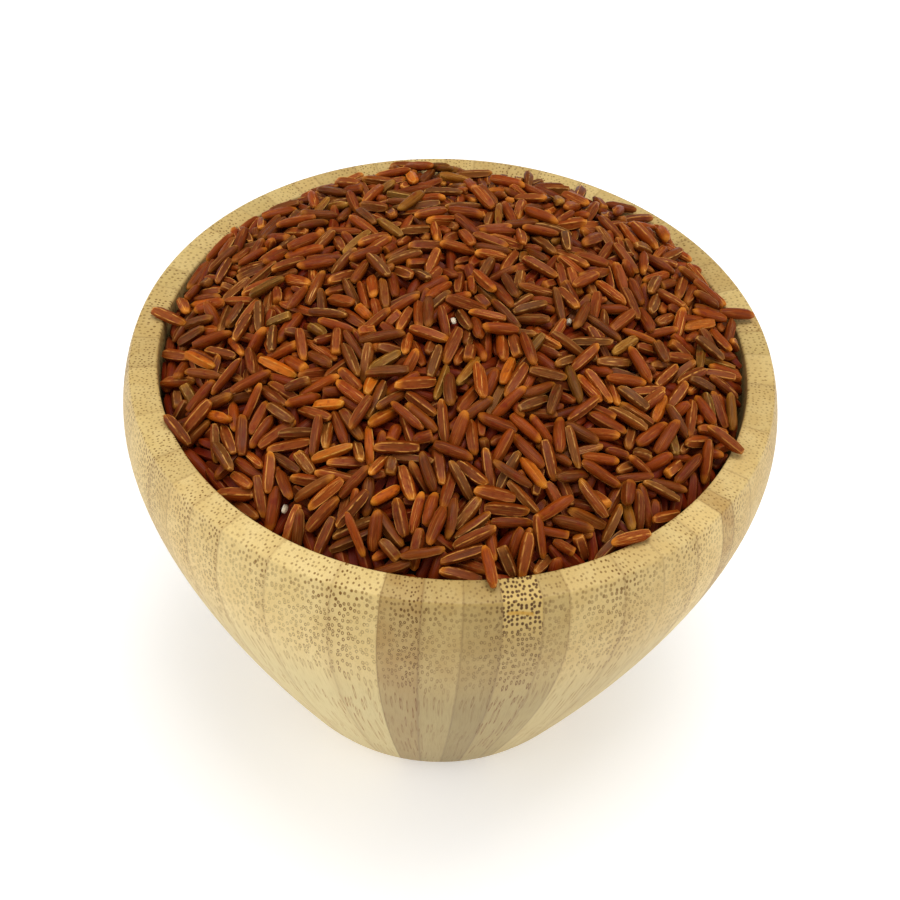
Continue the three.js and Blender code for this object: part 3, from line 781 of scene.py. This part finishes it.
def lay_grains(name, tree, chosen, rings, kind, finish, seed):
    """Makes one piece of all the chosen grains, each lying where it settled."""
    rng = np.random.default_rng(seed)
    up = heap_up(middles[chosen, 0], middles[chosen, 1])
    roll = rng.normal(0, ROLL, len(chosen)) + math.pi * (rng.random(len(chosen)) < 0.3)
    swap = np.where(rng.random(len(chosen)) < 0.5, 1.0, -1.0)
    turns = []
    for way, away, angle in zip(ways[chosen] * swap[:, None], up, roll):
        along = Vector(way)
        thick = (Vector(away) - along * along.dot(Vector(away))).normalized()
        thick = Matrix.Rotation(angle, 3, along) @ thick
        turns.append(Matrix((thick.cross(along), thick, along)).transposed().to_euler("XYZ"))
    points = bpy.data.meshes.new(name)
    points.from_pydata((middles[chosen] * MM).tolist(), [], [])
    points.attributes.new("turn", "FLOAT_VECTOR", "POINT").data.foreach_set(
        "vector", np.array(turns, float).ravel())
    thin = rng.uniform(0.92, 1.05, len(chosen))
    size = np.stack([widths[chosen] / GRAIN_WIDTH, widths[chosen] / GRAIN_WIDTH * thin,
                     lengths[chosen] / GRAIN_LENGTH], -1)
    points.attributes.new("size", "FLOAT_VECTOR", "POINT").data.foreach_set("vector", size.ravel())
    # Painted shade: the deeper a grain lies under the heap's level, the less of its own colour it keeps.
    depth = heap_level(middles[chosen, 0], middles[chosen, 1]) - middles[chosen, 2]
    points.attributes.new("in_the_light", "FLOAT", "POINT").data.foreach_set(
        "value", np.interp(depth, SHADED_FROM, (1.0, 0.15)))

    one_grain = grain_mesh(name, rings, kind["bend"], kind["notch"])
    pattern = bpy.data.objects.new(name + "_pattern", one_grain)
    piece = bpy.data.objects.new(name, points)
    bpy.context.scene.collection.objects.link(piece)
    modifier = piece.modifiers.new("grains", "NODES")
    modifier.node_group = tree
    socket = {item.name: item.identifier for item in tree.interface.items_tree}
    modifier[socket["Grain"]] = pattern
    modifier[socket["Width"]] = GRAIN_WIDTH * kind["width"] * MM
    modifier[socket["Thickness"]] = GRAIN_WIDTH * FLATNESS * MM
    modifier[socket["Length"]] = GRAIN_LENGTH * MM
    modifier[socket["Seed"]] = seed
    modifier[socket["Finish"]] = finish
    bpy.context.view_layer.update()
    settled = piece.evaluated_get(bpy.context.evaluated_depsgraph_get())
    mesh = bpy.data.meshes.new_from_object(settled)
    piece.modifiers.clear()
    piece.data = mesh
    bpy.data.meshes.remove(points)
    bpy.data.objects.remove(pattern)
    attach(piece, "root")
    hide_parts("rice")


grains_in_place = scatter_tree()
kind_of = np.full(len(middles), -1)
stands_out = (middles[:, 2] - heap_level(middles[:, 0], middles[:, 1])) * HIGHER_IS_NEARER
pixels = in_picture(middles)
for number, kind in enumerate(KINDS.values()):
    for place in kind["places"]:
        off = np.hypot(*(pixels - np.array(place)).T) - stands_out
        off[kind_of >= 0] = np.inf
        kind_of[np.argmin(off)] = number
chips = kind_of == list(KINDS).index("pale")
lengths[chips] *= CHIP_LENGTH
widths[chips] *= CHIP_WIDTH
shares = np.array([kind["share"] for kind in KINDS.values()])
by_chance = rng.choice(len(KINDS), len(middles), p=shares / shares.sum())
by_chance[held] = 0
kind_of = np.where(kind_of < 0, by_chance, kind_of)
for number, (name, kind) in enumerate(KINDS.items()):
    finish = rice_finish(name + "_bran", kind["face"], kind["flank"], kind["tip"], kind["gold"])
    for suffix, rings, state in (("_grains", BODY, ~is_broken), ("_broken_grains", SNAPPED, is_broken)):
        chosen = np.nonzero((kind_of == number) & state)[0]
        if len(chosen):
            lay_grains(name + suffix, grains_in_place, chosen, rings, kind, finish, 20 + number)


# ---- The floor and the light --------------------------------------------------------------------
# A plain near-white floor that gives off a little light itself, under the soft, even light of a
# small photo studio: one light above, one at each side, and white all round.

FLOOR_REACH, FLOOR_UNDER = 1.5, 0.0001  # metres, as are the lights' places and widths
LIGHTS_AIM = Vector((0, 0, 0.06))
FLOOR_GLOW, WALL_GLOW = 0.30, 0.36

floor_mesh = bpy.data.meshes.new("studio_floor")
floor_mesh.from_pydata([(x * FLOOR_REACH, y * FLOOR_REACH, -FLOOR_UNDER)
                        for x, y in ((-1, -1), (1, -1), (1, 1), (-1, 1))], [], [(0, 1, 2, 3)])
floor = bpy.data.objects.new("studio_floor", floor_mesh)
bpy.context.scene.collection.objects.link(floor)
floor_material, make = blank_finish("studio_white")
shader = make.node("ShaderNodeBsdfPrincipled", None, {
    "Base Color": (0.93, 0.93, 0.93, 1), "Roughness": 0.8, "Specular IOR Level": 0.2,
    "Emission Color": (1.0, 1.0, 1.0, 1), "Emission Strength": FLOOR_GLOW})
make.node("ShaderNodeOutputMaterial", None, {"Surface": shader})
floor.data.materials.append(floor_material)


def studio_light(name, place, width, power):
    """A square soft light that faces the bowl."""
    data = bpy.data.lights.new(name, "AREA")
    data.shape, data.size, data.energy = "SQUARE", width, power
    light = bpy.data.objects.new(name, data)
    light.location = place
    light.rotation_euler = (Vector(place) - LIGHTS_AIM).to_track_quat("Z", "Y").to_euler()
    bpy.context.scene.collection.objects.link(light)


studio_light("light_above", (0.05, 0.05, 0.75), 0.40, 2.9)
studio_light("light_at_left", (-0.55, -0.15, 0.32), 0.50, 1.7)
studio_light("light_at_right", (0.55, -0.15, 0.32), 0.50, 1.2)
world = bpy.data.worlds.new("studio_walls")
world.use_nodes = True
world.node_tree.nodes["Background"].inputs["Color"].default_value = (1, 1, 1, 1)
world.node_tree.nodes["Background"].inputs["Strength"].default_value = WALL_GLOW
bpy.context.scene.world = world
bpy.context.scene.view_settings.view_transform = "Standard"
